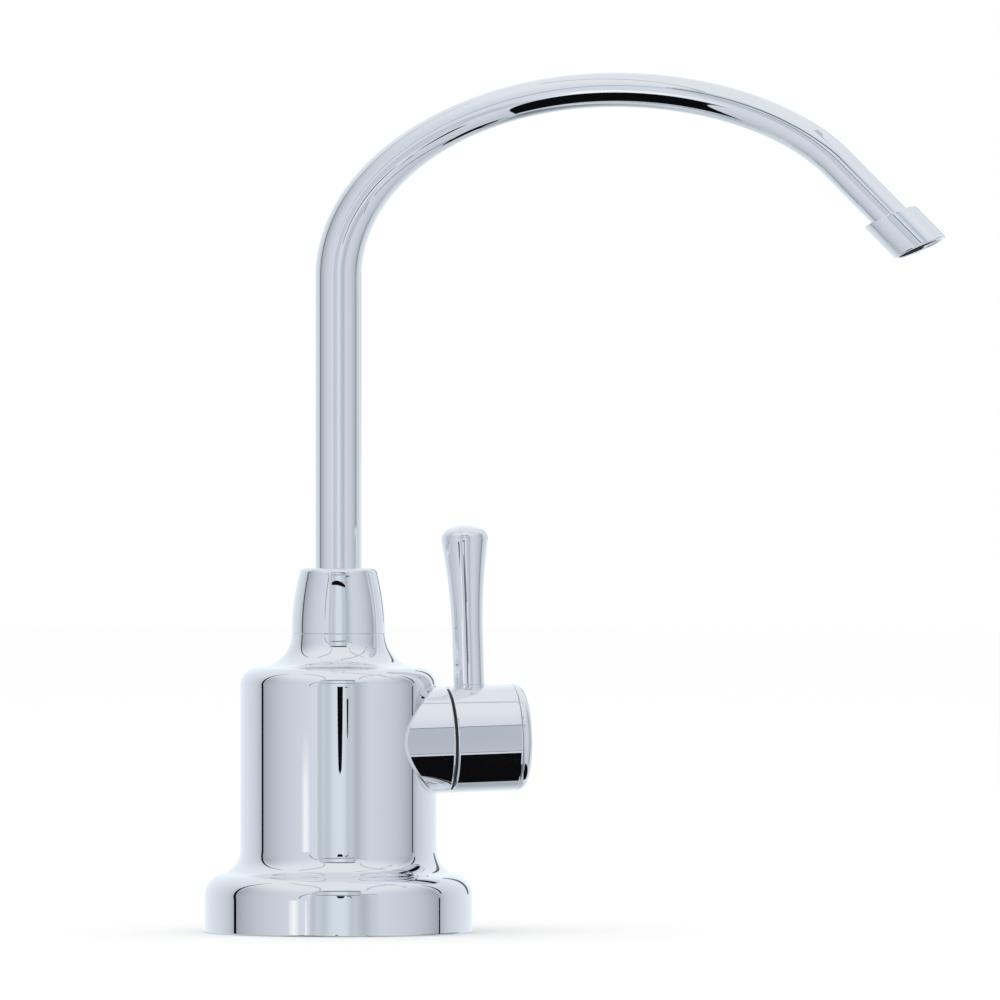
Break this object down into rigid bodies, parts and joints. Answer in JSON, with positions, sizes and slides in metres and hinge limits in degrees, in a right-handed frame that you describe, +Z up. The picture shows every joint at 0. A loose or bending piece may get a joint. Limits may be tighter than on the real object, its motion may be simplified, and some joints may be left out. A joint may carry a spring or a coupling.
{
  "type": "drinking water filter tap",
  "caption": "Chrome deck tap for filtered water: bell body on a round base, swivelling swan-neck spout and a quarter-turn side lever.",
  "frame": {"origin": "centre of the base's standing ring, on the worktop and on the body's axis", "axes": "+Z up along the body's axis; +X the way the spout points at rest; the lever's hub lies 26 degrees from +X towards +Y"},
  "size_m": [0.1801, 0.064, 0.2046],
  "materials": {
    "chrome": "polished chrome plate",
    "brass": "turned brass",
    "steel": "plain stainless steel",
    "rubber": "matt black rubber",
    "white_plastic": "moulded white plastic",
    "black_plastic": "moulded black plastic",
    "ceramic": "lapped ceramic"
  },
  "bodies": {
    "base": {"body_shell": "chrome", "base_gasket": "rubber", "valve_block": "brass", "inlet_fitting": "brass", "fixing_insert": "steel", "spout_collar": "chrome", "lower_swivel_washer": "white_plastic", "upper_swivel_washer": "white_plastic", "cartridge_body": "brass", "cartridge_o_ring": "rubber", "seat_seal": "rubber", "fixed_disc": "ceramic", "hub_washer": "black_plastic"},
    "spout": {"spout_tail": "brass", "spout_o_rings": "rubber", "spout_tube": "chrome", "tip_ring": "chrome", "tip_seal": "rubber", "flow_straightener": "black_plastic"},
    "handle": {"moving_disc": "ceramic", "spindle": "brass", "spindle_o_rings": "rubber", "spindle_clip": "steel", "lever_hub": "chrome", "lever_arm": "chrome", "hub_cap": "chrome", "handle_screw": "steel"}
  },
  "joints": [
    {"name": "spout_swivel", "type": "hinge", "parent": "base", "child": "spout", "pos_m": [0, 0, 0.08], "axis": [0, 0, 1], "continuous": true},
    {"name": "lever_turn", "type": "hinge", "parent": "base", "child": "handle", "pos_m": [0.00316, -0.00647, 0.0451], "axis": [0.8984, 0.4382, 0.0314], "range_deg": [0, 90]}
  ]
}
